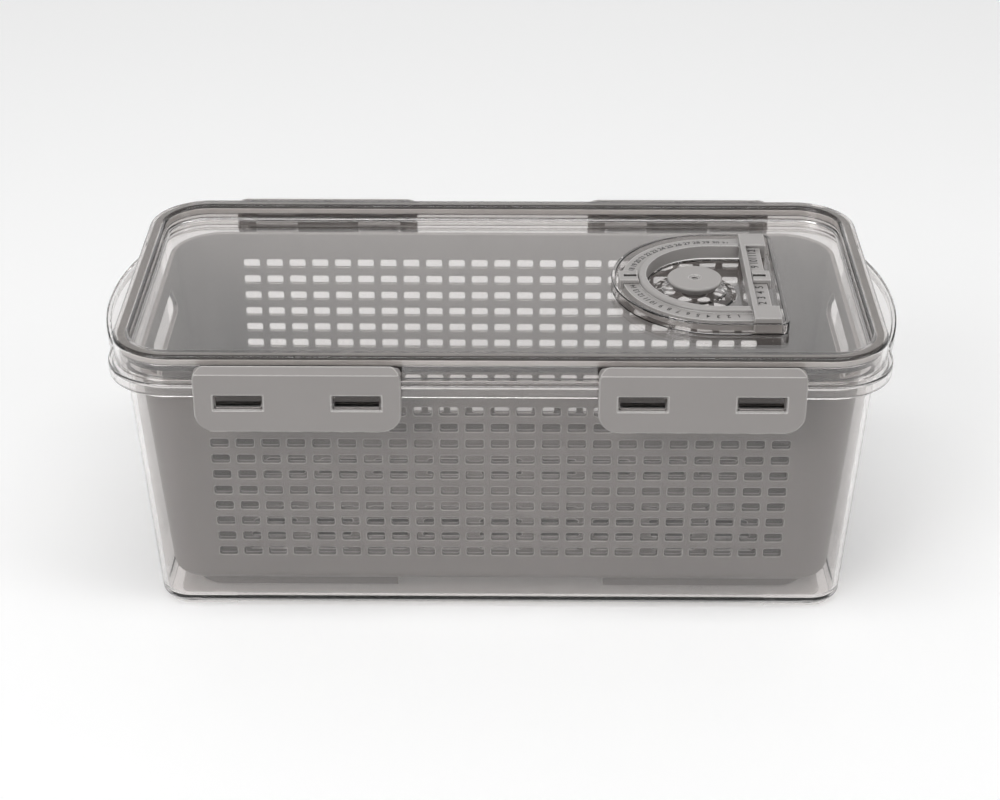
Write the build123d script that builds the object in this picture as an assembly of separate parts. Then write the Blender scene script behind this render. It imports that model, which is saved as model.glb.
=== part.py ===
from build123d import *
import os
from math import cos, radians, sin, tan

# Fridge storage box: a clear container with a strainer basket inside, a clear lid
# with four swing latches, a sealing ring, a date dial and a vent plug.
# Millimetres, +Z up, origin on the table under the middle of the box, front at -Y.

os.makedirs("parts", exist_ok=True)

# Clearances
slide_gap = 0.3
pin_gap = 0.08
seat_gap = 0.1

# Heights above the table
foot_height = 1.0
flange_top = 111.0
rim_top = 117.2
lid_top = 122.0

# Lid outline and shell
lid_length = 301.4
lid_depth = 146.0
lid_corner = 24.0
lid_wall = 1.8
lid_roof = 2.0
channel_width = 3.0
panel_top = 116.0
panel_thickness = 2.0
bead_fillet = 1.6
panel_fillet = 1.5

# Container
container_wall = 2.0
container_draft = 3.8
container_floor = 3.0
container_inset = 3.8
container_bottom_fillet = 4.0
container_inner_fillet = 3.0
rim_wall = 2.0
flange_overhang = 2.5
flange_thickness = 2.0
lip_thickness = 2.0
lip_drop = 3.4
handle_reach = 7.5
handle_half_width = 42.0
foot_inset = 2.6
foot_width = 5.0
foot_gap_length = 216.0
foot_gap_depth = 70.0
flange_rounding = 0.7
rim_rounding = 0.6

# Strainer basket
basket_length = 284.8
basket_depth = 132.4
basket_corner = 22.0
basket_draft = 4.5
basket_wall = 2.0
basket_floor = 2.0
basket_lid_gap = 5.5
basket_bottom_fillet = 6.0
basket_inner_fillet = 4.0
basket_foot_height = 6.3
basket_foot_inset = 7.6
basket_foot_thickness = 2.2
basket_foot_gap_length = 84.0
basket_foot_gap_depth = 40.0
basket_rim_rounding = 0.7

# Slots in the basket's long walls
slot_columns = 23
slot_rows = 10
slot_pitch = 10.0
slot_row_pitch = 7.56
slot_length = 7.5
slot_height = 4.3
slot_corner = 1.2
slot_draft = 8.0
first_row_below_rim = 14.0

# Drain slots in the basket's floor
drain_columns = 9
drain_rows = 8
drain_pitch_x = 24.0
drain_pitch_y = 10.0
drain_length = 18.0
drain_width = 3.8

# Hand holds in the basket's end walls
hold_top_width = 50.0
hold_bottom_width = 70.0
hold_height = 13.5
hold_below_rim = 8.0
hold_corner = 3.0

# Latches
latch_spacing = 154.0
latch_width = 79.0
latch_thickness = 2.6
latch_drop = 24.0
latch_bottom_corner = 8.0
latch_top_corner = 5.0
latch_rib_depth = 1.3
latch_rib_width = 1.6
latch_rounding = 0.6
latch_chamfer = 2.65
latch_chamfer_start = 0.7
barrel_radius = 2.5
bar_radius = 1.2
bar_offset = 4.5
bar_below_top = 4.9
bar_length = 70.0
latch_open_angle = 120.0
clip_mouth = 1.9
web_spacing = 32.0
web_width = 3.0
web_thickness = 1.4
web_angle = 240.0
web_reach = 3.6
window_width = 18.5
window_height = 6.0
window_spacing = 45.2
window_above_bottom = 9.65
window_bevel = 0.5
tab_width = 17.0
tab_tip_height = 1.2
tab_overlap = 0.8
tab_end_gap = 0.8

# Sealing ring
gasket_thickness = 2.5
gasket_rounding = 0.7

# Date dial
dial_x = 87.0
dial_wall_outer = 42.1
dial_wall_thickness = 1.8
dial_wall_height = 4.6
dial_straight = 26.7
dial_wall_corner = 4.0
band_outer = 37.6
band_top = 120.1
dial_rim_inner = 27.9
dial_rim_width = 3.3
dial_rim_top = 122.0
dial_rounding = 0.5
ring_top = 121.6
ring_rounding = 1.2
bar_rim_start = 12.7
bar_rim_width = 2.3
month_plate_end = 20.9
month_block_end = 23.5
month_block_inner = 28.0
month_block_outer = 39.3
pocket_depth = 2.6
pocket_wall = 1.8

# Sliders on the dial
slider_width = 8.8
slider_top = 122.0
slider_window_length = 5.4
slider_window_width = 2.6
slider_overhang = 1.6
slider_foot_depth = 2.4
slider_rounding = 0.4
day_angle = 181.7
month_rest_y = -0.65

# Vent plug and its seat
vent_x = 78.9
vent_cap_radius = 11.8
vent_cap_base_radius = 9.6
vent_cap_top = 120.6
vent_cap_thickness = 3.3
vent_stem_radius = 3.5
vent_collar_radius = 5.5
vent_collar_thickness = 1.2
vent_travel = 2.0
vent_dimple_radius = 1.4
vent_dimple_depth = 1.2
vent_dish_radius = 2.6
vent_dish_depth = 0.4
vent_cap_fillet = 0.8
seat_radius = 8.5
seat_base_radius = 17.4
seat_step_radius = 13.4
seat_step_low = 1.3
seat_step_high = 2.0
seat_step_width = 1.0

# Derived levels
panel_bottom = panel_top - panel_thickness
lid_bottom = flange_top + slide_gap
floor_top = foot_height + container_floor
basket_rim = panel_bottom - basket_lid_gap
basket_foot_bottom = floor_top + slide_gap
basket_bottom = basket_foot_bottom + basket_foot_height
bar_z = lid_top - bar_below_top
bead_width = 2 * lid_wall + channel_width
rim_inset = lid_wall + (channel_width - rim_wall) / 2
latch_bar_y = lid_depth / 2 + bar_offset
latch_front_y = latch_bar_y + barrel_radius
latch_bottom = bar_z - latch_drop
flange_bottom = flange_top - flange_thickness
lip_bottom = flange_bottom - lip_drop
pocket_top = panel_top - pocket_depth
pocket_bottom = pocket_top - panel_thickness
vent_seat_top = vent_cap_top - vent_cap_thickness - slide_gap
vent_seat_bottom = vent_seat_top - panel_thickness


def outline(inset, z):
    """Lid outline moved in by an inset, at a height."""
    face = RectangleRounded(lid_length - 2 * inset, lid_depth - 2 * inset, lid_corner - inset)
    return Pos(0, 0, z) * face


def plate(inset, low, high):
    return extrude(outline(inset, low), amount=high - low)


def ring(outer_inset, inner_inset, low, high):
    return plate(outer_inset, low, high) - plate(inner_inset, low, high)


def box_between(low, high):
    """Box from its lowest corner to its highest corner."""
    size = [b - a for a, b in zip(low, high)]
    middle = [(a + b) / 2 for a, b in zip(low, high)]
    return Pos(*middle) * Box(*size)


def tapered_body(inset, low, draft):
    """Rounded box that narrows downward from the flange by a draft angle."""
    face = outline(inset, flange_top)
    return extrude(face, amount=flange_top - low, dir=(0, 0, -1), taper=draft)


def lowest_edges(solid):
    return solid.edges().group_by(Axis.Z)[0]


def highest_edges(solid):
    return solid.edges().group_by(Axis.Z)[-1]


# Container
def flange_outline(inset, z):
    """Flange outline with a curved bulge at each end for the handles."""
    reach = lid_length / 2 + flange_overhang
    bulge_radius = (handle_half_width**2 + handle_reach**2) / (2 * handle_reach)
    shape = outline(inset - flange_overhang, z)
    for side in (-1, 1):
        centre = side * (reach + handle_reach - bulge_radius)
        disc = Pos(centre, 0, z) * Circle(bulge_radius - inset)
        strip = Pos(side * reach, 0, z) * Rectangle(reach, 2 * handle_half_width)
        shape += disc & strip
    return shape


def flange_layer(inset, low, high):
    return extrude(flange_outline(inset, low), amount=high - low)


def corner_feet(bottom_length, bottom_depth, corner):
    """Low pad under each corner of the container."""
    outer = RectangleRounded(bottom_length, bottom_depth, corner)
    inner = RectangleRounded(
        bottom_length - 2 * foot_width, bottom_depth - 2 * foot_width, corner - foot_width
    )
    height = foot_height + container_floor / 2
    pads = extrude(outer - inner, amount=height)
    pads -= box_between((-foot_gap_length / 2, -lid_depth, 0), (foot_gap_length / 2, lid_depth, height))
    pads -= box_between((-lid_length, -foot_gap_depth / 2, 0), (lid_length, foot_gap_depth / 2, height))
    return pads


def catch_tab(x, side):
    """Tab on the flange lip that a latch window hooks under."""
    low = latch_bottom + window_above_bottom + slide_gap + seat_gap
    lip_front = lid_depth / 2 + flange_overhang
    tip = latch_front_y - tab_end_gap
    profile = Polyline(
        (lip_front - lip_thickness, low),
        (tip, low),
        (tip, low + tab_tip_height),
        (lip_front, lip_bottom + tab_overlap),
        (lip_front - lip_thickness, lip_bottom + tab_overlap),
        close=True,
    )
    face = make_face(Plane.YZ * profile)
    tab = Pos(x - tab_width / 2, 0, 0) * extrude(face, amount=tab_width, dir=(1, 0, 0))
    return tab if side > 0 else mirror(tab, about=Plane.XZ)


def latch_places():
    return [(side_x * latch_spacing / 2, side_y) for side_y in (-1, 1) for side_x in (-1, 1)]


def make_container():
    shell = tapered_body(container_inset, foot_height, container_draft)
    shell = fillet(lowest_edges(shell), container_bottom_fillet)
    cavity = tapered_body(container_inset + container_wall, floor_top, container_draft)
    cavity = fillet(lowest_edges(cavity), container_inner_fillet)
    inner_inset = container_inset + container_wall
    flange = flange_layer(0, lip_bottom, flange_top) - flange_layer(lip_thickness, lip_bottom, flange_bottom)
    flange = fillet(highest_edges(flange) + lowest_edges(flange), flange_rounding)
    flange -= plate(inner_inset, flange_bottom, flange_top)
    rim = ring(rim_inset, rim_inset + rim_wall, flange_bottom, rim_top)
    rim = fillet(highest_edges(rim), rim_rounding)
    shrink = 2 * (container_inset + (flange_top - foot_height) * tan(radians(container_draft)))
    foot_corner = lid_corner - shrink / 2 - foot_inset
    feet = corner_feet(
        lid_length - shrink - 2 * foot_inset, lid_depth - shrink - 2 * foot_inset, foot_corner
    )
    body = shell + flange + rim + feet - cavity
    for x, side in latch_places():
        for offset in (-window_spacing / 2, window_spacing / 2):
            body += catch_tab(x + offset, side)
    return body


# Strainer basket
def basket_form(inset, low):
    """Basket block moved in by a wall, narrowing downward from the rim."""
    face = Pos(0, 0, basket_rim) * RectangleRounded(
        basket_length - 2 * inset, basket_depth - 2 * inset, basket_corner - inset
    )
    return extrude(face, amount=basket_rim - low, dir=(0, 0, -1), taper=basket_draft)


def basket_half_depth(z):
    return basket_depth / 2 - (basket_rim - z) * tan(radians(basket_draft))


def front_wall_slots():
    """Rows of tapered slots through the front wall."""
    lead = slot_height * 0.1
    face = Plane.XZ * RectangleRounded(slot_length, slot_height, slot_corner)
    slot = extrude(face, amount=basket_wall + 4 * lead, dir=(0, 1, 0), taper=slot_draft)
    slots = []
    for row in range(slot_rows):
        z = basket_rim - first_row_below_rim - row * slot_row_pitch
        for column in range(slot_columns):
            x = (column - (slot_columns - 1) / 2) * slot_pitch
            slots.append(Pos(x, -basket_half_depth(z) - lead, z) * slot)
    return slots


def front_floor_drains():
    """Drain slots in the front half of the floor."""
    drain = extrude(SlotOverall(drain_length, drain_width), amount=2 * basket_floor)
    drains = []
    for row in range(drain_rows // 2):
        for column in range(drain_columns):
            x = (column - (drain_columns - 1) / 2) * drain_pitch_x
            y = -(row + 0.5) * drain_pitch_y
            drains.append(Pos(x, y, basket_bottom - basket_floor / 2) * drain)
    return drains


def hand_hold():
    """Tapered hand hold cut through both end walls."""
    top = basket_rim - hold_below_rim
    bottom = top - hold_height
    profile = Polyline(
        (-hold_top_width / 2, top),
        (hold_top_width / 2, top),
        (hold_bottom_width / 2, bottom),
        (-hold_bottom_width / 2, bottom),
        close=True,
    )
    face = make_face(Plane.YZ * profile)
    face = fillet(face.vertices(), hold_corner)
    return Pos(-lid_length / 2, 0, 0) * extrude(face, amount=lid_length, dir=(1, 0, 0))


def basket_feet():
    """Four L shaped ribs under the basket's corners."""
    shrink = (basket_rim - basket_bottom) * tan(radians(basket_draft)) + basket_foot_inset
    length = basket_length - 2 * shrink
    depth = basket_depth - 2 * shrink
    corner = basket_corner - shrink / 2
    inset = 2 * basket_foot_thickness
    shape = RectangleRounded(length, depth, corner)
    shape -= RectangleRounded(length - inset, depth - inset, corner - basket_foot_thickness)
    shape -= Rectangle(basket_foot_gap_length, 2 * depth)
    shape -= Rectangle(2 * length, basket_foot_gap_depth)
    low = Pos(0, 0, basket_foot_bottom) * shape
    return extrude(low, amount=basket_foot_height + basket_floor / 2)


def make_basket():
    """The front half is cut with its slots, and the back half mirrors it."""
    outer = fillet(lowest_edges(basket_form(0, basket_bottom)), basket_bottom_fillet)
    inner = basket_form(basket_wall, basket_bottom + basket_floor)
    inner = fillet(lowest_edges(inner), basket_inner_fillet)
    body = fillet(highest_edges(outer - inner), basket_rim_rounding)
    body = body + basket_feet() - inner - hand_hold()
    front_side = box_between((-lid_length, -lid_depth, 0), (lid_length, 0, lid_top))
    front = (body & front_side) - front_wall_slots() - front_floor_drains()
    return front + mirror(front, about=Plane.XZ)


# Lid
def dial_outline(radius, straight, corner=0.0):
    """Half round on the left, straight on the right, about the dial's centre."""
    left_half = Circle(radius) & Pos(-radius / 2, 0) * Rectangle(radius, 2 * radius)
    shape = left_half + Pos(straight / 2, 0) * Rectangle(straight, 2 * radius)
    if corner > 0:
        right = shape.vertices().group_by(Axis.X)[-1]
        shape = fillet(right, corner)
    return Pos(dial_x, 0) * shape


def dial_layer(radius, straight, low, high, corner=0.0):
    return Pos(0, 0, low) * extrude(dial_outline(radius, straight, corner), amount=high - low)


def dial_window(extra, low, high):
    """Window inside the dial's rim, grown by an extra wall."""
    return dial_layer(dial_rim_inner + extra, bar_rim_start + extra, low, high)


def hinge_bar(x, side):
    """Round bar and its webs for one latch, on the lid's skirt."""
    bar = Pos(x, latch_bar_y, bar_z) * Rot(0, 90, 0) * Cylinder(bar_radius, bar_length)
    skirt = lid_depth / 2 - lid_wall / 2
    neck_y = latch_bar_y + web_reach * cos(radians(web_angle))
    neck_z = bar_z + web_reach * sin(radians(web_angle))
    half = web_thickness / 2
    across = (half * sin(radians(web_angle)), -half * cos(radians(web_angle)))
    profile = Polyline(
        (latch_bar_y + across[0], bar_z + across[1]),
        (latch_bar_y - across[0], bar_z - across[1]),
        (neck_y - across[0], neck_z - across[1]),
        (skirt, lid_bottom + slide_gap),
        (skirt, neck_z + web_thickness),
        (neck_y + across[0], neck_z + across[1]),
        close=True,
    )
    face = make_face(Plane.YZ * profile)
    piece = bar
    for offset in (-web_spacing, 0, web_spacing):
        web = extrude(face, amount=web_width, dir=(1, 0, 0))
        piece += Pos(x + offset - web_width / 2, 0, 0) * web
    return piece if side > 0 else mirror(piece, about=Plane.XZ)


def vent_seat():
    """Hollow stepped cone under the vent plug, with a hole for its stem."""
    hole = vent_stem_radius + slide_gap
    profile = Polyline(
        (hole, vent_seat_top),
        (seat_radius, vent_seat_top),
        (seat_step_radius - seat_step_width, pocket_top + seat_step_high),
        (seat_step_radius, pocket_top + seat_step_high),
        (seat_step_radius, pocket_top + seat_step_low),
        (seat_base_radius, pocket_top),
        (seat_base_radius, pocket_bottom),
        (seat_base_radius - panel_thickness, pocket_bottom),
        (seat_radius - panel_thickness, vent_seat_bottom),
        (hole, vent_seat_bottom),
        close=True,
    )
    return revolve(make_face(Plane.XZ * profile), Axis.Z)


def make_lid():
    shell = plate(0, lid_bottom, lid_top)
    shell -= plate(bead_width, panel_top, lid_top)
    shell -= plate(bead_width - lid_wall, lid_bottom, panel_bottom)
    shell -= ring(lid_wall, lid_wall + channel_width, lid_bottom, lid_top - lid_roof)
    shell = fillet(highest_edges(shell), bead_fillet)
    panel_edge = shell.edges().filter_by(lambda edge: abs(edge.center().Z - panel_top) < seat_gap)
    shell = fillet(panel_edge, panel_fillet)
    shell += dial_window(pocket_wall, pocket_bottom, panel_top)
    shell -= dial_window(0, pocket_top, panel_top)
    wall_top = panel_top + dial_wall_height
    wall = dial_layer(dial_wall_outer, dial_straight, panel_bottom, wall_top, dial_wall_corner)
    inner_radius = dial_wall_outer - dial_wall_thickness
    inner_straight = dial_straight - dial_wall_thickness
    inner_corner = dial_wall_corner - dial_wall_thickness
    wall -= dial_layer(inner_radius, inner_straight, panel_bottom, wall_top, inner_corner)
    shell += fillet(highest_edges(wall), dial_rounding)
    shell -= Pos(vent_x, 0, pocket_top) * Cylinder(seat_base_radius - seat_gap, 4 * panel_thickness)
    shell += Pos(vent_x, 0, 0) * vent_seat()
    for x, side in latch_places():
        shell += hinge_bar(x, side)
    return shell


def make_gasket():
    high = lid_top - lid_roof
    seal = ring(lid_wall + seat_gap, lid_wall + channel_width - seat_gap, high - gasket_thickness, high)
    return fillet(lowest_edges(seal), gasket_rounding)


# Latches
def web_wedge():
    """Space that the webs sweep through the latch's barrel as it opens, in YZ."""
    margin = web_thickness / 2 + slide_gap
    last_angle = web_angle - latch_open_angle
    middle = (web_angle + last_angle) / 2
    back = margin / sin(radians((web_angle - last_angle) / 2))
    reach = 3 * barrel_radius
    apex = (-back * cos(radians(middle)), -back * sin(radians(middle)))
    points = [apex]
    for angle in (last_angle, middle, web_angle):
        points.append((apex[0] + reach * cos(radians(angle)), apex[1] + reach * sin(radians(angle))))
    return make_face(Plane.YZ * Polyline(*points, close=True))


def make_latch(x, side):
    """Latch for the back of the lid, mirrored for the front."""
    barrel = Rot(0, 90, 0) * Cylinder(barrel_radius, latch_width)
    thickness_low = barrel_radius - latch_thickness
    height = latch_drop
    top = latch_chamfer_start + latch_chamfer
    profile = Polyline(
        (thickness_low, -height),
        (barrel_radius, -height),
        (barrel_radius, top),
        (barrel_radius - latch_chamfer, top),
        (-barrel_radius, 0),
        (thickness_low, 0),
        close=True,
    )
    face = Pos(-latch_width / 2, 0, 0) * make_face(Plane.YZ * profile)
    body = barrel + extrude(face, amount=latch_width, dir=(1, 0, 0))
    rim_low = thickness_low - latch_rib_depth
    rim = box_between((-latch_width / 2, rim_low, -height), (latch_width / 2, thickness_low, -barrel_radius))
    rim -= box_between(
        (-latch_width / 2 + latch_rib_width, rim_low, -height + latch_rib_width),
        (latch_width / 2 - latch_rib_width, thickness_low, 0),
    )
    body += rim
    front = Pos(0, (top - height) / 2) * Rectangle(latch_width, height + top)
    front = Plane.XZ * front
    front = fillet(front.vertices().group_by(Axis.Z)[0], latch_bottom_corner)
    front = fillet(front.vertices().group_by(Axis.Z)[-1], latch_top_corner)
    block = Pos(0, barrel_radius, 0) * extrude(front, amount=4 * barrel_radius, dir=(0, -1, 0))
    block = fillet(block.edges().group_by(Axis.Y)[-1], latch_rounding)
    slope = Pos(0, barrel_radius, latch_chamfer_start) * Rot(-45, 0, 0)
    block -= slope * Pos(0, 0, latch_width / 2) * Box(2 * latch_width, latch_width, latch_width)
    body &= block
    body -= Rot(0, 90, 0) * Cylinder(bar_radius + pin_gap, bar_length + 2 * slide_gap)
    mouth = box_between(
        (-latch_width / 2, -clip_mouth / 2, -2 * barrel_radius), (latch_width / 2, clip_mouth / 2, 0)
    )
    body -= Rot(web_angle - 270, 0, 0) * mouth
    wedge = extrude(web_wedge(), amount=web_width + 2 * slide_gap, dir=(1, 0, 0))
    for offset in (-web_spacing, 0, web_spacing):
        body -= Pos(offset - web_width / 2 - slide_gap, 0, 0) * wedge
    window_face = Plane.XZ * Rectangle(window_width, window_height)
    window = extrude(window_face, amount=2 * barrel_radius, both=True)
    mouth_face = Plane.XZ * Rectangle(window_width + 2 * window_bevel, window_height + 2 * window_bevel)
    bevel = extrude(mouth_face, amount=window_bevel, dir=(0, -1, 0), taper=45)
    window += Pos(0, barrel_radius, 0) * bevel
    window = Pos(0, 0, window_height / 2 + window_above_bottom - height) * window
    for offset in (-window_spacing / 2, window_spacing / 2):
        body -= Pos(offset, 0, 0) * window
    body = Pos(x, latch_bar_y, bar_z) * body
    return body if side > 0 else mirror(body, about=Plane.XZ)


# Date dial and its sliders
def make_dial():
    """Grey frame with the day band, the ring inside it and the month bar."""
    band = dial_layer(band_outer, month_plate_end, panel_top, band_top)
    bar_end = bar_rim_start + bar_rim_width
    bar = Pos(dial_x, 0, 0) * box_between(
        (bar_rim_start, -month_block_outer, panel_top), (bar_end, month_block_outer, dial_rim_top)
    )
    for side in (-1, 1):
        y_low, y_high = sorted((side * month_block_inner, side * month_block_outer))
        bar += Pos(dial_x, 0, 0) * box_between(
            (bar_rim_start, y_low, panel_top), (month_block_end, y_high, dial_rim_top)
        )
    bar = fillet(highest_edges(bar), dial_rounding)
    ring_solid = dial_layer(dial_rim_inner + dial_rim_width, bar_rim_start, panel_top, ring_top)
    ring_solid = fillet(highest_edges(ring_solid), ring_rounding)
    ring_solid -= dial_window(0, panel_top, ring_top)
    return band + ring_solid - dial_window(0, panel_top, dial_rim_top) + bar


def day_slider_x():
    """Nearest and furthest reach of the day slider from the dial's centre."""
    near = dial_rim_inner + dial_rim_width + slide_gap
    return near, band_outer + slider_overhang


def make_day_slider():
    near, far = day_slider_x()
    low = band_top + slide_gap
    annulus = Circle(far) - Circle(near)
    strip = Pos((near + far) / 2, 0) * Rectangle(far, slider_width)
    top = Pos(0, 0, low) * extrude(annulus & strip, amount=slider_top - low)
    top = fillet(highest_edges(top), slider_rounding)
    foot_face = (Circle(far) - Circle(band_outer + slide_gap)) & strip
    foot = Pos(0, 0, low - slider_foot_depth) * extrude(foot_face, amount=slider_foot_depth)
    window = Pos((near + band_outer) / 2, 0, low) * Box(
        slider_window_length, slider_window_width, 4 * slider_top - 4 * low
    )
    return Pos(dial_x, 0, 0) * Rot(0, 0, day_angle) * (top + foot - window)


def make_month_slider():
    low = band_top + slide_gap
    near = bar_rim_start + bar_rim_width + slide_gap
    foot_near = month_plate_end + slide_gap
    far = month_plate_end + slider_overhang
    half = slider_width / 2
    top = box_between((near, -half, low), (far, half, slider_top))
    top = fillet(highest_edges(top), slider_rounding)
    foot = box_between((foot_near, -half, low - slider_foot_depth), (far, half, low))
    window = Pos((near + month_plate_end) / 2, 0, low) * Box(
        slider_window_length, slider_window_width, 4 * slider_top - 4 * low
    )
    return Pos(dial_x, month_rest_y, 0) * (top + foot - window)


# Vent plug
def make_vent_plug():
    """Mushroom shaped plug whose collar snaps in under the lid."""
    cap_bottom = vent_cap_top - vent_cap_thickness
    collar_top = vent_seat_bottom - slide_gap - vent_travel
    collar_low = collar_top - vent_collar_thickness
    profile = Polyline(
        (0, vent_cap_top),
        (vent_cap_radius, vent_cap_top),
        (vent_cap_base_radius, cap_bottom),
        (vent_stem_radius, cap_bottom),
        (vent_stem_radius, collar_top),
        (vent_collar_radius, collar_top),
        (vent_stem_radius, collar_low),
        (0, collar_low),
        close=True,
    )
    plug = revolve(make_face(Plane.XZ * profile), Axis.Z)
    plug = fillet(plug.edges().group_by(Axis.Z)[-1], vent_cap_fillet)
    hollows = [(vent_dish_radius, vent_dish_depth), (vent_dimple_radius, vent_dimple_depth)]
    for radius, depth in hollows:
        plug -= Pos(0, 0, vent_cap_top) * Cylinder(radius, 2 * depth)
    return Pos(vent_x, 0, 0) * plug


nodes = {
    "container": make_container(),
    "basket": make_basket(),
    "lid": make_lid(),
    "lid_gasket": make_gasket(),
    "date_dial": make_dial(),
    "day_slider": make_day_slider(),
    "month_slider": make_month_slider(),
    "vent_plug": make_vent_plug(),
}
for x, side in latch_places():
    name = f"latch_{'front' if side < 0 else 'back'}_{'left' if x < 0 else 'right'}"
    nodes[name] = make_latch(x, side)

for name, shape in nodes.items():
    export_step(shape, f"parts/{name}.step")
    box = shape.bounding_box()
    print(name, len(shape.solids()), round(shape.volume), box.min, box.max)
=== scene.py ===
# %% [markdown]
# A clear fridge box with a grey strainer basket, four latches, a date dial and a vent
# plug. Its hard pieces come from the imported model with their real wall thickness, which
# clear plastic needs: a glass shader bends light at every face, so a wall with only one
# skin would look wrong. This script gives them their finish, adds the printed numbers
# and the dark slits of the dial, and lights the whole.

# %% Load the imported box
import math

import bpy
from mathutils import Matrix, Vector


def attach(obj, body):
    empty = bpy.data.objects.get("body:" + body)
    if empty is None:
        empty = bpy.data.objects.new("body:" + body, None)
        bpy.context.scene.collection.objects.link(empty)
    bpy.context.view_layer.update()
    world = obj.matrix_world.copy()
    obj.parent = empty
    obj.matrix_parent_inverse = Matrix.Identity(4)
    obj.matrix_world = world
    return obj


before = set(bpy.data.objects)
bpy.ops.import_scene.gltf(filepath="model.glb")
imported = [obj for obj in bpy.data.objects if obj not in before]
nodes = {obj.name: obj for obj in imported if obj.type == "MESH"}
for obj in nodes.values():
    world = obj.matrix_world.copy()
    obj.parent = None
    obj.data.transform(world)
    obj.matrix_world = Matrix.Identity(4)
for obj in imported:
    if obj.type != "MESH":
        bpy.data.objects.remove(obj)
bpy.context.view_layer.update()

MM = 0.001

# %% [markdown]
# A camera is a measured thing too. The picture was taken with a long lens from the
# front, looking down by about 29 degrees, with the box a little left of its axis.
# The place, the turn and the lens below were worked out from the even pitch of the
# basket's slots, so the render and the photograph share one perspective.

# %% Camera
CAMERA_PLACE = Vector((0.0059, -0.7995, 0.5112))
CAMERA_DOWN = 29.286
CAMERA_LEFT = 0.461
LENS = 78.35

camera_data = bpy.data.cameras.new("camera")
camera_data.lens = LENS
camera_data.sensor_width = 36.0
camera_data.clip_start = 0.01
camera = bpy.data.objects.new("camera", camera_data)
camera.location = CAMERA_PLACE
camera.rotation_euler = (math.radians(90 - CAMERA_DOWN), 0, math.radians(CAMERA_LEFT))
bpy.context.scene.collection.objects.link(camera)
bpy.context.scene.camera = camera
print("camera", tuple(round(v, 3) for v in camera.location), "lens", LENS)

# %% [markdown]
# Every colour below is written as it looks on a screen, in sRGB hex. Cycles works in
# linear light, so one small function turns the hex value to linear. A second small
# function adds a node with its settings and links, which keeps a material short.


# %% Colour and node helpers
def linear(hex_colour):
    """An sRGB hex colour as linear red, green, blue and alpha."""
    parts = [int(hex_colour[i:i + 2], 16) / 255 for i in (1, 3, 5)]
    levels = [c / 12.92 if c <= 0.04045 else ((c + 0.055) / 1.055) ** 2.4 for c in parts]
    return (*levels, 1.0)


def add_node(tree, kind, settings=None, **links):
    """Adds a node, sets its fields and sockets, and links its inputs by name."""
    node = tree.nodes.new(kind)
    for field, value in (settings or {}).items():
        if field in node.inputs:
            node.inputs[field].default_value = value
        else:
            setattr(node, field, value)
    for socket, source in links.items():
        tree.links.new(source, node.inputs[socket.replace("_", " ")])
    return node


def new_material(name):
    """A material with an empty node tree, and that tree."""
    material = bpy.data.materials.new(name)
    material.use_nodes = True
    material.node_tree.nodes.clear()
    return material, material.node_tree


print("mid grey in linear light", [round(c, 3) for c in linear("#808080")])

# %% [markdown]
# The container and the lid are injection moulded from a clear styrene acrylonitrile,
# SAN, with an index of refraction near 1.57 and a polished mould's gloss. Such a wall
# isn't perfectly flat: the melt freezes in long shallow waves, a few hundredths of a
# millimetre deep, and these make the soft streaks in its reflections. A noise texture
# 40 mm long gives them. Clear plastic is a little grey and warm, and it takes more
# light from a lamp than a thin pane would. A glass shader alone throws a full shadow on
# what lies inside, so rays towards lamps meet a tinted transparent surface instead.
# Behind the latch windows the container's catch tabs get a darker tint, placed by Object
# coordinates: painted shade, which makes the windows look shaded.


# %% Clear moulded plastic
WAVE_LENGTH = 40 * MM
WAVE_DEPTH = 0.02 * MM
WAVE_STRENGTH = 0.2
SAN_INDEX = 1.57
LATCH_X = 77 * MM
TAB_REACH = 34 * MM
TAB_Y = 74 * MM
TAB_SHADE_FADE = 1 * MM


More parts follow.
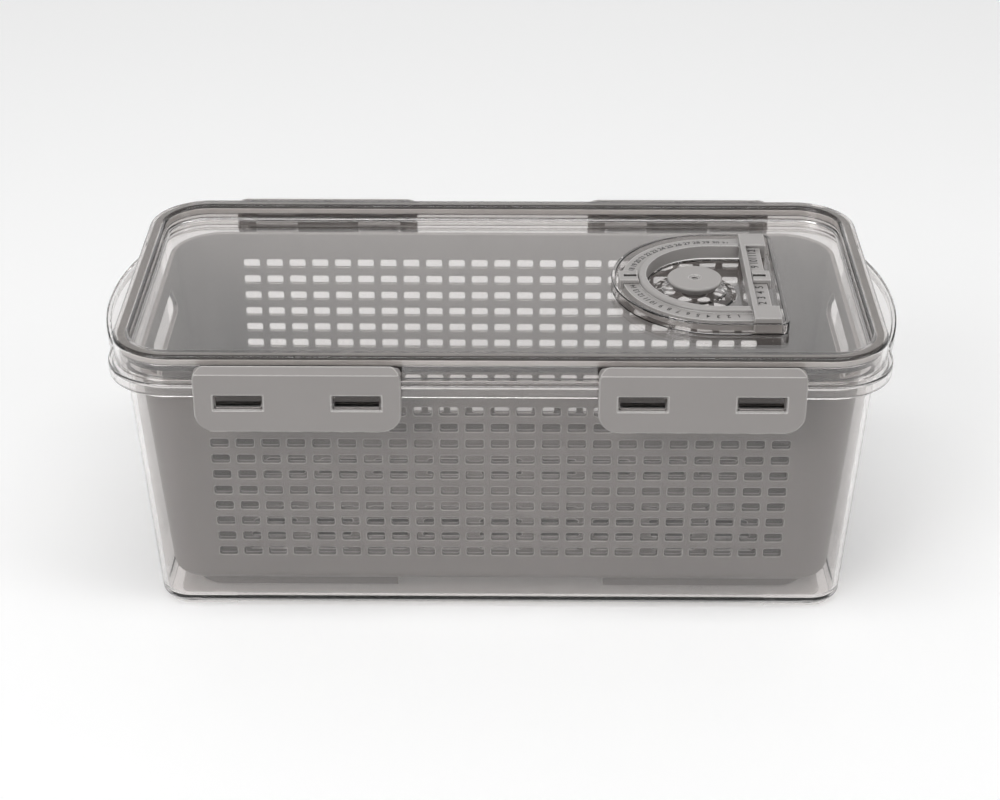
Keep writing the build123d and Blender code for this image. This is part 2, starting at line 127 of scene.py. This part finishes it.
def clear_plastic(name, tint, lamp_tint, roughness, tab_shade_colour=None):
    """Clear moulded plastic.

    The eye sees tint, lamps see lamp_tint, and the tab colour is painted shade on the
    catch tabs.
    """
    material, tree = new_material(name)
    place = add_node(tree, "ShaderNodeTexCoord")
    wave = add_node(tree, "ShaderNodeTexNoise", {
        "Scale": 1 / WAVE_LENGTH,
        "Detail": 1.0,
    }, Vector=place.outputs["Object"])
    ripple = add_node(tree, "ShaderNodeBump", {
        "Strength": WAVE_STRENGTH,
        "Distance": WAVE_DEPTH,
    }, Height=wave.outputs["Fac"])
    body = add_node(tree, "ShaderNodeBsdfPrincipled", {
        "Base Color": linear(tint),
        "Roughness": roughness,
        "IOR": SAN_INDEX,
        "Transmission Weight": 1.0,
    }, Normal=ripple.outputs["Normal"])
    # Painted shade: the catch tabs behind the latch windows get the darker tab colour, so
    # the windows look shaded.
    if tab_shade_colour:
        spot = add_node(tree, "ShaderNodeSeparateXYZ", Vector=place.outputs["Object"])
        size = {"operation": "ABSOLUTE"}
        along = add_node(tree, "ShaderNodeMath", size, Value=spot.outputs["X"])
        off = add_node(tree, "ShaderNodeMath", {"operation": "SUBTRACT"})
        tree.links.new(along.outputs[0], off.inputs[0])
        off.inputs[1].default_value = LATCH_X
        near = add_node(tree, "ShaderNodeMath", size, Value=off.outputs[0])
        in_x = add_node(tree, "ShaderNodeMapRange", {
            "From Min": TAB_REACH + TAB_SHADE_FADE,
            "From Max": TAB_REACH,
        }, Value=near.outputs[0])
        deep = add_node(tree, "ShaderNodeMath", size, Value=spot.outputs["Y"])
        in_y = add_node(tree, "ShaderNodeMapRange", {
            "From Min": TAB_Y,
            "From Max": TAB_Y + TAB_SHADE_FADE,
        }, Value=deep.outputs[0])
        tab_shade_mask = add_node(tree, "ShaderNodeMath", {"operation": "MULTIPLY"})
        tree.links.new(in_x.outputs[0], tab_shade_mask.inputs[0])
        tree.links.new(in_y.outputs[0], tab_shade_mask.inputs[1])
        shade = add_node(tree, "ShaderNodeMix", {"data_type": "RGBA"})
        shade.inputs[6].default_value = linear(tint)
        shade.inputs[7].default_value = linear(tab_shade_colour)
        tree.links.new(tab_shade_mask.outputs[0], shade.inputs[0])
        tree.links.new(shade.outputs[2], body.inputs["Base Color"])
    lamp_side = add_node(tree, "ShaderNodeBsdfTransparent", {"Color": linear(lamp_tint)})
    path = add_node(tree, "ShaderNodeLightPath")
    mix = add_node(tree, "ShaderNodeMixShader", Fac=path.outputs["Is Shadow Ray"])
    tree.links.new(body.outputs[0], mix.inputs[1])
    tree.links.new(lamp_side.outputs[0], mix.inputs[2])
    output = add_node(tree, "ShaderNodeOutputMaterial")
    tree.links.new(mix.outputs[0], output.inputs[0])
    return material


# The container's last colour is painted shade on the catch tabs behind the latch windows.
clear_box = clear_plastic(
    "clear moulded SAN container", "#F0EEED", "#ECEAE9", 0.015, "#7C7876")
clear_lid = clear_plastic("clear moulded SAN lid", "#F3F1F0", "#EFECEA", 0.02)
print("made", clear_box.name, "and", clear_lid.name)

# %% [markdown]
# The basket and the latches are polypropylene from a spark-eroded mould: satin, with a
# very fine grain. The dial is ABS, a little shinier. The grain of such a mould is about
# 0.1 mm, too fine for this picture, so it is drawn at 0.5 mm and very shallow. Where
# the melt flowed, its colour and gloss drift by a percent or two over some 30 mm, and a
# second, slower noise gives that drift to the colour and the roughness.
#
# No moulded edge is sharp: each has a rounding of about half a millimetre that catches
# the light as a thin line. A bevel node turns the normals there, which leaves the packed
# mesh as it is. The edges are also painted paler, a painted highlight along that line of
# light. Light hardly reaches the recesses, and painted shade darkens them further: an
# ambient occlusion node finds them within a few millimetres of the piece's own walls, and
# within 120 mm for the inside of the basket, and the colour is darkened there.


# %% Satin moulded plastic
FLOW_LENGTH = 30 * MM
EDGE_ROUNDING = 0.6 * MM
# The edge colour is a painted highlight, and the recess colour is painted shade.
EDGE_HIGHLIGHT_COLOUR = "#E6E3E1"
EDGE_HIGHLIGHT_SHARE = 1.0
RECESS_SHADE_COLOUR = "#3A3735"
SHUT, OPEN = 0.25, 0.85
FLAT_FACING, EDGE_FACING = 0.995, 0.92
GRAIN_DEPTH = 0.02 * MM
GRAIN_STRENGTH = 0.25
GLOSS_DRIFT = 0.03
RAYS = 4


def satin_plastic(name, colour, drift, roughness, grain_mm, index, recess_mm=4):
    """Satin plastic that drifts from colour to drift, with painted shade in recesses and
    painted highlights on edges.

    A point gets painted shade when the piece's own walls crowd it within recess_mm.
    """
    material, tree = new_material(name)
    place = add_node(tree, "ShaderNodeTexCoord")
    grain = add_node(tree, "ShaderNodeTexNoise", {
        "Scale": 1 / (grain_mm * MM),
        "Detail": 2.0,
    }, Vector=place.outputs["Object"])
    edge = add_node(tree, "ShaderNodeBevel", {"samples": RAYS, "Radius": EDGE_ROUNDING})
    bump = add_node(tree, "ShaderNodeBump", {
        "Strength": GRAIN_STRENGTH,
        "Distance": GRAIN_DEPTH,
    }, Height=grain.outputs["Fac"], Normal=edge.outputs["Normal"])
    flow = add_node(tree, "ShaderNodeTexNoise", {
        "Scale": 1 / FLOW_LENGTH,
        "Detail": 3.0,
    }, Vector=place.outputs["Object"])
    tone = add_node(tree, "ShaderNodeMix", {"data_type": "RGBA"})
    tone.inputs[6].default_value = linear(colour)
    tone.inputs[7].default_value = linear(drift)
    tree.links.new(flow.outputs["Fac"], tone.inputs[0])
    # Painted shade: the colour darkens towards the recess shade colour where ambient
    # occlusion finds the piece's own walls close by.
    hollow = add_node(tree, "ShaderNodeAmbientOcclusion", {
        "samples": RAYS,
        "only_local": True,
        "Distance": recess_mm * MM,
    })
    open_share = add_node(tree, "ShaderNodeMapRange", {
        "From Min": SHUT,
        "From Max": OPEN,
    }, Value=hollow.outputs["AO"])
    shaded = add_node(tree, "ShaderNodeMix", {"data_type": "RGBA"})
    shaded.inputs[6].default_value = linear(RECESS_SHADE_COLOUR)
    tree.links.new(open_share.outputs["Result"], shaded.inputs[0])
    tree.links.new(tone.outputs[2], shaded.inputs[7])
    # Painted highlight: where the bevel normal turns away from the surface normal, at
    # edges, the colour goes paler.
    facing = add_node(tree, "ShaderNodeVectorMath", {"operation": "DOT_PRODUCT"})
    tree.links.new(edge.outputs["Normal"], facing.inputs[0])
    surface = add_node(tree, "ShaderNodeNewGeometry")
    tree.links.new(surface.outputs["Normal"], facing.inputs[1])
    rim = add_node(tree, "ShaderNodeMapRange", {
        "From Min": FLAT_FACING,
        "From Max": EDGE_FACING,
        "To Max": EDGE_HIGHLIGHT_SHARE,
    }, Value=facing.outputs["Value"])
    coloured = add_node(tree, "ShaderNodeMix", {"data_type": "RGBA"})
    coloured.inputs[7].default_value = linear(EDGE_HIGHLIGHT_COLOUR)
    tree.links.new(rim.outputs["Result"], coloured.inputs[0])
    tree.links.new(shaded.outputs[2], coloured.inputs[6])
    gloss = add_node(tree, "ShaderNodeMapRange", {
        "To Min": roughness - GLOSS_DRIFT,
        "To Max": roughness + GLOSS_DRIFT,
    }, Value=flow.outputs["Fac"])
    body = add_node(tree, "ShaderNodeBsdfPrincipled", {
        "IOR": index,
    }, Roughness=gloss.outputs["Result"], Normal=bump.outputs["Normal"])
    tree.links.new(coloured.outputs[2], body.inputs["Base Color"])
    output = add_node(tree, "ShaderNodeOutputMaterial")
    tree.links.new(body.outputs[0], output.inputs[0])
    return material


PP_INDEX = 1.49
ABS_INDEX = 1.52
SILICONE_INDEX = 1.41
# For the basket the recess reach is 120 mm, so painted shade darkens its whole inside.
basket_grey = satin_plastic(
    "satin moulded polypropylene basket", "#8B8785", "#918D8B", 0.38, 0.6, PP_INDEX, 120)
latch_grey = satin_plastic(
    "satin moulded polypropylene latch", "#918D8B", "#969290", 0.34, 0.5, PP_INDEX)
dial_grey = satin_plastic(
    "satin moulded ABS dial", "#9E9A98", "#A3A09E", 0.3, 0.5, ABS_INDEX)
vent_grey = satin_plastic(
    "moulded silicone vent plug", "#A29E9C", "#A7A4A2", 0.5, 0.4, SILICONE_INDEX)
seal_grey = satin_plastic(
    "moulded silicone seal", "#C4C1BF", "#CAC7C5", 0.45, 0.5, SILICONE_INDEX)
for made in (basket_grey, latch_grey, dial_grey, vent_grey, seal_grey):
    print("made", made.name)

# %% [markdown]
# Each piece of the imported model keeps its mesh, and only gets its finish. The names of
# the pieces say which finish: four latches share one, and the dial and its two sliders
# share another.

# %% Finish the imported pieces
finish = {
    "container": clear_box,
    "lid": clear_lid,
    "basket": basket_grey,
    "lid_gasket": seal_grey,
    "date_dial": dial_grey,
    "day_slider": dial_grey,
    "month_slider": dial_grey,
    "vent_plug": vent_grey,
}
for name, piece in nodes.items():
    piece.data.materials.clear()
    piece.data.materials.append(finish.get(name, latch_grey))
print("finished", len(nodes), "pieces")

# %% [markdown]
# The dial's numbers are printed on its flat band: days 1 to 31 clockwise round the
# bend, their tops outwards, and months 1 to 12 along the straight bar. Printing ink is
# about 0.02 mm thick, and here it stands 0.04 mm proud so that it never fights the
# surface below it. A digit is 0.7 of its text size high, and wet ink spreads a little,
# so each stroke gains 0.05 mm on either side. Each number is a text that is made a mesh,
# moved to its place and joined with the others.

# %% Ink and number helpers
DIAL_X = 87.0 * MM
BAND_TOP = 120.1 * MM
INK_THICKNESS = 0.04 * MM
INK_GRAIN = 0.2 * MM
STROKE_GAIN = 0.05 * MM
DIGIT_SHARE = 0.7
WELD = 0.001 * MM

ink, tree = new_material("dark grey printing ink")
ink_place = add_node(tree, "ShaderNodeTexCoord")
ink_grain = add_node(tree, "ShaderNodeTexNoise", {
    "Scale": 1 / INK_GRAIN,
}, Vector=ink_place.outputs["Object"])
rub = add_node(tree, "ShaderNodeMapRange", {
    "To Min": 0.45,
    "To Max": 0.65,
}, Value=ink_grain.outputs["Fac"])
ink_body = add_node(tree, "ShaderNodeBsdfPrincipled", {
    "Base Color": linear("#1F1D1C"),
}, Roughness=rub.outputs["Result"])
ink_output = add_node(tree, "ShaderNodeOutputMaterial")
tree.links.new(ink_body.outputs[0], ink_output.inputs[0])


def number_mesh(value, height, place, turn):
    """One printed number as a mesh, centred on place and turned about Z."""
    bpy.ops.object.select_all(action="DESELECT")
    bpy.ops.object.text_add(location=(0, 0, 0))
    text = bpy.context.active_object
    text.data.body = str(value)
    text.data.size = height / DIGIT_SHARE
    text.data.align_x = "CENTER"
    text.data.align_y = "CENTER"
    text.data.extrude = INK_THICKNESS / 2
    text.data.offset = STROKE_GAIN
    text.data.resolution_u = 4
    bpy.ops.object.convert(target="MESH")
    mesh_object = bpy.context.active_object
    mesh_object.location = place
    mesh_object.rotation_euler = (0, 0, turn)
    bpy.ops.object.transform_apply(location=True, rotation=True, scale=True)
    bpy.ops.object.mode_set(mode="EDIT")
    bpy.ops.mesh.select_all(action="SELECT")
    bpy.ops.mesh.remove_doubles(threshold=WELD)
    bpy.ops.mesh.normals_make_consistent(inside=False)
    bpy.ops.object.mode_set(mode="OBJECT")
    return mesh_object


def join_numbers(pieces, name):
    """Joins printed numbers to one piece that rides on the lid."""
    bpy.ops.object.select_all(action="DESELECT")
    for piece in pieces:
        piece.select_set(True)
    bpy.context.view_layer.objects.active = pieces[0]
    bpy.ops.object.join()
    joined = bpy.context.active_object
    joined.name = name
    joined.data.name = name
    joined.data.materials.clear()
    joined.data.materials.append(ink)
    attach(joined, "lid")
    print(name, "has", len(joined.data.polygons), "faces")


# %% Day numbers round the bend
DAY_RADIUS = 34.3 * MM
FIRST_DAY_ANGLE = 281.8
DAY_STEP = 6.79
DAY_HEIGHT = 2.3 * MM

day_pieces = []
for day in range(1, 32):
    angle = math.radians(FIRST_DAY_ANGLE - DAY_STEP * (day - 1))
    place = (
        DIAL_X + DAY_RADIUS * math.cos(angle),
        DAY_RADIUS * math.sin(angle),
        BAND_TOP + INK_THICKNESS / 2,
    )
    day_pieces.append(number_mesh(day, DAY_HEIGHT, place, angle - math.pi / 2))
join_numbers(day_pieces, "day_numbers")

# %% Month numbers along the bar
MONTH_X = DIAL_X + 17.6 * MM
FIRST_MONTH_Y = -27.0 * MM
MONTH_STEP = 4.73 * MM
MONTH_HEIGHT = 3.2 * MM

month_pieces = []
for month in range(1, 13):
    place = (
        MONTH_X,
        FIRST_MONTH_Y + MONTH_STEP * (month - 1),
        BAND_TOP + INK_THICKNESS / 2,
    )
    month_pieces.append(number_mesh(month, MONTH_HEIGHT, place, math.pi / 2))
join_numbers(month_pieces, "month_numbers")

# %% [markdown]
# Each slider has a narrow slit that frames one number. A dark smoked clear lens is set
# into it, so the slit reads as a black bar. The lens is a thin cuboid with rounded edges
# and a slightly sunk top: a cube that is scaled, inset on its top face, pushed down and
# bevelled. It rides on its slider.

# %% Smoked lenses of the sliders
SLIT_LENGTH = 5.3 * MM
SLIT_WIDTH = 2.5 * MM
LENS_LOW = 120.5 * MM
LENS_HIGH = 121.3 * MM
LENS_BORDER = 0.3 * MM
LENS_SINK = 0.1 * MM
LENS_ROUNDING = 0.06 * MM
smoked_lens = clear_plastic(
    "smoked clear polycarbonate lens", "#3C3836", "#3C3836", 0.05)


def slit_lens(name, body_name, place, turn):
    """A smoked lens in a slider's slit, long along X before it is turned."""
    bpy.ops.object.select_all(action="DESELECT")
    bpy.ops.mesh.primitive_cube_add(size=1)
    lens = bpy.context.active_object
    lens.name = name
    lens.data.name = name
    lens.scale = (SLIT_LENGTH, SLIT_WIDTH, LENS_HIGH - LENS_LOW)
    bpy.ops.object.transform_apply(location=False, rotation=False, scale=True)
    bpy.ops.object.mode_set(mode="EDIT")
    bpy.ops.mesh.select_mode(type="FACE")
    bpy.ops.mesh.select_all(action="DESELECT")
    bpy.ops.object.mode_set(mode="OBJECT")
    top = max(vertex.co.z for vertex in lens.data.vertices)
    for polygon in lens.data.polygons:
        polygon.select = polygon.center.z > top - WELD
    bpy.ops.object.mode_set(mode="EDIT")
    bpy.ops.mesh.inset(thickness=LENS_BORDER, depth=-LENS_SINK)
    bpy.ops.object.mode_set(mode="OBJECT")
    rounding = lens.modifiers.new("rounded edges", "BEVEL")
    rounding.width = LENS_ROUNDING
    rounding.segments = 2
    bpy.ops.object.modifier_apply(modifier=rounding.name)
    lens.location = (place[0], place[1], (LENS_LOW + LENS_HIGH) / 2)
    lens.rotation_euler = (0, 0, turn)
    bpy.ops.object.transform_apply(location=True, rotation=True, scale=True)
    lens.data.materials.append(smoked_lens)
    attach(lens, body_name)
    print(name, "at", [round(v / MM, 1) for v in place], "mm")


DAY_SLIDER_ANGLE = math.radians(181.7)
SLIT_RADIUS = 34.55 * MM
MONTH_SLIT = (DIAL_X + 18.1 * MM, -0.65 * MM)
day_slit = (
    DIAL_X + SLIT_RADIUS * math.cos(DAY_SLIDER_ANGLE),
    SLIT_RADIUS * math.sin(DAY_SLIDER_ANGLE),
)
slit_lens("day_slider_lens", "day_slider", day_slit, DAY_SLIDER_ANGLE)
slit_lens("month_slider_lens", "month_slider", MONTH_SLIT, 0)

# %% [markdown]
# The floor is plain and pale, and keeps the box's shadow. It is far larger than the
# camera sees, so every view has a clean background. A white background takes more light
# than the box should get, so a little glow is added to what the eye sees of the floor,
# straight, mirrored or through clear plastic. It lights nothing.

# %% Floor
FLOOR_SIZE = 40.0
FLOOR_GLOW = 0.13

bpy.ops.object.select_all(action="DESELECT")
bpy.ops.mesh.primitive_plane_add(size=FLOOR_SIZE, location=(0, 0, 0))
floor = bpy.context.active_object
floor.name = "floor"

floor_paint, tree = new_material("matt white painted floor")
floor_body = add_node(tree, "ShaderNodeBsdfPrincipled", {
    "Base Color": linear("#F4F4F4"),
    "Roughness": 0.9,
    "Specular IOR Level": 0.0,
})
seen_by = add_node(tree, "ShaderNodeLightPath")
straight = add_node(tree, "ShaderNodeMath", {"operation": "ADD", "use_clamp": True})
tree.links.new(seen_by.outputs["Is Camera Ray"], straight.inputs[0])
tree.links.new(seen_by.outputs["Is Glossy Ray"], straight.inputs[1])
through = add_node(tree, "ShaderNodeMath", {"operation": "ADD", "use_clamp": True})
tree.links.new(straight.outputs[0], through.inputs[0])
tree.links.new(seen_by.outputs["Is Transmission Ray"], through.inputs[1])
lift = add_node(tree, "ShaderNodeMath", {"operation": "MULTIPLY"})
tree.links.new(through.outputs[0], lift.inputs[0])
lift.inputs[1].default_value = FLOOR_GLOW
glow = add_node(tree, "ShaderNodeEmission", Strength=lift.outputs[0])
sum_up = add_node(tree, "ShaderNodeAddShader")
tree.links.new(floor_body.outputs[0], sum_up.inputs[0])
tree.links.new(glow.outputs[0], sum_up.inputs[1])
floor_output = add_node(tree, "ShaderNodeOutputMaterial")
tree.links.new(sum_up.outputs[0], floor_output.inputs[0])
floor.data.materials.append(floor_paint)
print("floor is", floor.dimensions.x, "m wide")

# %% [markdown]
# Clear plastic shows what stands round it. A studio has pale walls near the floor and a
# darker ceiling, and that contrast draws the bright and dark lines along the rims. So
# the world is pale near the horizon and falls off upwards, and four softboxes do the
# rest. A long narrow one overhead draws thin bright lines along every rounded edge. One
# low behind the box is mirrored in the lid and gives it its sheen. A key stands at the
# front left, and a weak fill on the right.

# %% World
WALL_STRENGTH = 0.7
CEILING_STRENGTH = 0.4
WALL_TOP = 0.1
CEILING_START = 0.6

scene = bpy.context.scene
scene.view_settings.view_transform = "Standard"
world = bpy.data.worlds.new("studio")
scene.world = world
world.use_nodes = True
tree = world.node_tree
sky_way = add_node(tree, "ShaderNodeTexCoord")
up = add_node(tree, "ShaderNodeSeparateXYZ", Vector=sky_way.outputs["Generated"])
fall = add_node(tree, "ShaderNodeMapRange", {
    "From Min": WALL_TOP,
    "From Max": CEILING_START,
    "To Min": WALL_STRENGTH,
    "To Max": CEILING_STRENGTH,
    "interpolation_type": "SMOOTHSTEP",
}, Value=up.outputs["Z"])
background = tree.nodes["Background"]
background.inputs["Color"].default_value = linear("#F8F8F8")
tree.links.new(fall.outputs["Result"], background.inputs["Strength"])


# %% Softboxes
def softbox(name, place, target, size, power):
    """A rectangular lamp in metres and watts that looks at target."""
    data = bpy.data.lights.new(name, "AREA")
    data.shape = "RECTANGLE"
    data.size, data.size_y = size
    data.energy = power
    lamp = bpy.data.objects.new(name, data)
    lamp.location = place
    aim = Vector(target) - Vector(place)
    lamp.rotation_euler = aim.to_track_quat("-Z", "Y").to_euler()
    lamp.visible_camera = False
    scene.collection.objects.link(lamp)
    print(name, power, "W")


softbox("overhead softbox", (0, -0.35, 1.6), (0, 0, 0.05), (1.8, 0.35), 11)
softbox("back softbox", (-0.1, 1.5, 0.87), (0, 0, 0.12), (2.2, 0.5), 1.8)
softbox("key softbox", (-1.0, -1.2, 1.2), (0, 0, 0.05), (0.9, 0.7), 9)
softbox("right fill", (1.4, -0.6, 0.9), (0, 0, 0.05), (0.6, 0.6), 3)

# %% [markdown]
# Light goes through up to eight clear walls on its way through the box, and each wall
# has two faces, so the paths are allowed more bounces than usual.

# %% Finish
scene.cycles.max_bounces = 24
scene.cycles.transmission_bounces = 20
scene.cycles.transparent_max_bounces = 24
scene.cycles.glossy_bounces = 8
